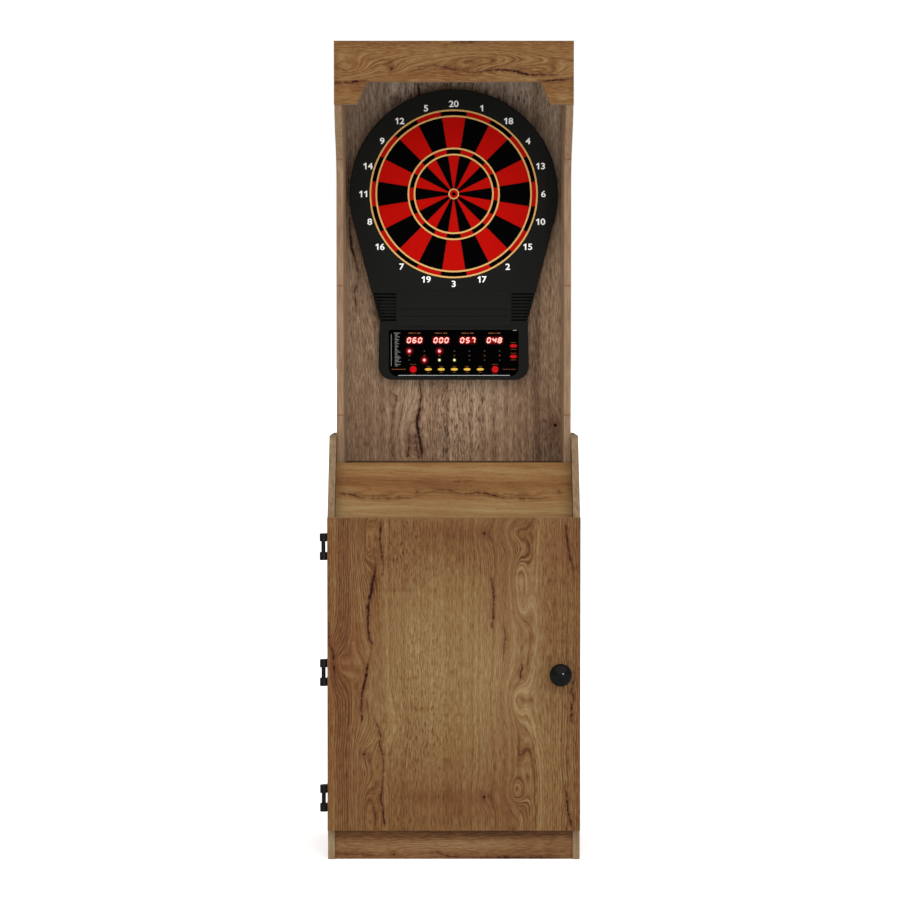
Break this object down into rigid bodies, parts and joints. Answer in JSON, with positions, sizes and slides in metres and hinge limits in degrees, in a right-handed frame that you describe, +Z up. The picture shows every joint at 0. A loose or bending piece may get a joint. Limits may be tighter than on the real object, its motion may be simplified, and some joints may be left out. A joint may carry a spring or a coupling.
{
  "type": "dart board cabinet",
  "caption": "Free-standing oak-look cabinet with a hinged cupboard door and a hooded upper recess that holds an electronic dart board at playing height.",
  "frame": {"origin": "on the floor, in the middle of the cabinet's width and midway between the knob's front and the cabinet's rear", "axes": "+Z up, +X to the right as seen from the front, the front faces -Y"},
  "size_m": [0.6696, 0.44, 2.105],
  "materials": {
    "oak_board": "satin",
    "grey_oak_board": "matte",
    "beech_dowel": "matte",
    "black_metal": "satin",
    "black_screw": "satin",
    "zinc_steel": "satin",
    "knob_black": "gloss",
    "white_plastic": "satin",
    "clear_rubber": "satin",
    "housing_black": "matte",
    "spider_black": "satin",
    "ring_gold": "satin",
    "segment_red": "satin",
    "segment_black": "satin",
    "membrane": "satin",
    "foam": "matte",
    "window_black": "gloss",
    "display_red": "gloss",
    "led_clear": "gloss",
    "circuit_board": "satin",
    "speaker_dark": "matte",
    "button_red": "satin",
    "button_yellow": "satin"
  },
  "bodies": {
    "cabinet": {"base_side_left": "oak_board", "base_side_right": "oak_board", "base_bottom_panel": "oak_board", "base_top_panel": "oak_board", "base_back_panel": "grey_oak_board", "plinth_board": "oak_board", "apron_panel": "oak_board", "deck_board": "oak_board", "deck_rear_rail": "oak_board", "adjustable_shelf": "oak_board", "upper_side_left": "oak_board", "upper_side_right": "oak_board", "backboard": "grey_oak_board", "hood_fascia": "oak_board", "roof_panel": "oak_board", "wall_rail": "oak_board", "fascia_dowels": "beech_dowel", "hinge_cabinet_leaves": "black_metal", "hinge_pins": "black_metal", "hinge_cabinet_screws": "black_screw", "board_mounting_screws": "black_screw", "board_cover_screws": "black_screw", "shelf_pins": "zinc_steel", "confirmat_screws": "zinc_steel", "connector_bolts": "zinc_steel", "connector_nuts": "zinc_steel", "magnetic_catch": "white_plastic", "door_bumpers": "clear_rubber", "board_housing": "housing_black", "board_rear_cover": "housing_black", "target_spider": "spider_black", "target_rings": "ring_gold", "singles_red": "segment_red", "multipliers_red": "segment_red", "singles_black": "segment_black", "multipliers_black": "segment_black", "sensor_membrane": "membrane", "foam_backing": "foam", "display_window": "window_black", "score_displays": "display_red", "indicator_leds": "led_clear", "control_board": "circuit_board", "speaker": "speaker_dark"},
    "door": {"door_panel": "oak_board", "door_knob": "knob_black", "knob_screw": "zinc_steel", "hinge_door_leaves": "black_metal", "hinge_door_screws": "black_screw", "catch_strike_plate": "zinc_steel"},
    "button_round_left": {"button_round_left": "button_red"},
    "button_round_right": {"button_round_right": "button_red"},
    "button_oval_select_1": {"button_oval_select_1": "button_yellow"},
    "button_oval_select_2": {"button_oval_select_2": "button_yellow"},
    "button_oval_select_3": {"button_oval_select_3": "button_yellow"},
    "button_oval_select_4": {"button_oval_select_4": "button_yellow"},
    "button_oval_select_5": {"button_oval_select_5": "button_yellow"},
    "button_oval_upper": {"button_oval_upper": "button_red"},
    "button_oval_lower": {"button_oval_lower": "button_red"},
    "bull_outer_segment": {"bull_outer": "segment_red"},
    "bull_inner_segment": {"bull_inner": "segment_black"}
  },
  "joints": [
    {"name": "door_hinge", "type": "hinge", "parent": "cabinet", "child": "door", "pos_m": [-0.335, -0.17, 0.4858], "axis": [0, 0, -1], "range_deg": [0, 170]},
    {"name": "button_round_left_press", "type": "slide", "parent": "cabinet", "child": "button_round_left", "axis": [0, 1, 0], "range_m": [0, 0.0012], "stiffness_N_per_m": 1200, "springref_m": -0.001},
    {"name": "button_round_right_press", "type": "slide", "parent": "cabinet", "child": "button_round_right", "axis": [0, 1, 0], "range_m": [0, 0.0012], "stiffness_N_per_m": 1200, "springref_m": -0.001},
    {"name": "button_oval_select_1_press", "type": "slide", "parent": "cabinet", "child": "button_oval_select_1", "axis": [0, 1, 0], "range_m": [0, 0.0012], "stiffness_N_per_m": 1200, "springref_m": -0.001},
    {"name": "button_oval_select_2_press", "type": "slide", "parent": "cabinet", "child": "button_oval_select_2", "axis": [0, 1, 0], "range_m": [0, 0.0012], "stiffness_N_per_m": 1200, "springref_m": -0.001},
    {"name": "button_oval_select_3_press", "type": "slide", "parent": "cabinet", "child": "button_oval_select_3", "axis": [0, 1, 0], "range_m": [0, 0.0012], "stiffness_N_per_m": 1200, "springref_m": -0.001},
    {"name": "button_oval_select_4_press", "type": "slide", "parent": "cabinet", "child": "button_oval_select_4", "axis": [0, 1, 0], "range_m": [0, 0.0012], "stiffness_N_per_m": 1200, "springref_m": -0.001},
    {"name": "button_oval_select_5_press", "type": "slide", "parent": "cabinet", "child": "button_oval_select_5", "axis": [0, 1, 0], "range_m": [0, 0.0012], "stiffness_N_per_m": 1200, "springref_m": -0.001},
    {"name": "button_oval_upper_press", "type": "slide", "parent": "cabinet", "child": "button_oval_upper", "axis": [0, 1, 0], "range_m": [0, 0.0012], "stiffness_N_per_m": 1200, "springref_m": -0.001},
    {"name": "button_oval_lower_press", "type": "slide", "parent": "cabinet", "child": "button_oval_lower", "axis": [0, 1, 0], "range_m": [0, 0.0012], "stiffness_N_per_m": 1200, "springref_m": -0.001},
    {"name": "bull_outer_press", "type": "slide", "parent": "cabinet", "child": "bull_outer_segment", "axis": [0, 1, 0], "range_m": [0, 0.001], "stiffness_N_per_m": 3000, "springref_m": -0.001},
    {"name": "bull_inner_press", "type": "slide", "parent": "cabinet", "child": "bull_inner_segment", "axis": [0, 1, 0], "range_m": [0, 0.001], "stiffness_N_per_m": 3000, "springref_m": -0.001}
  ]
}
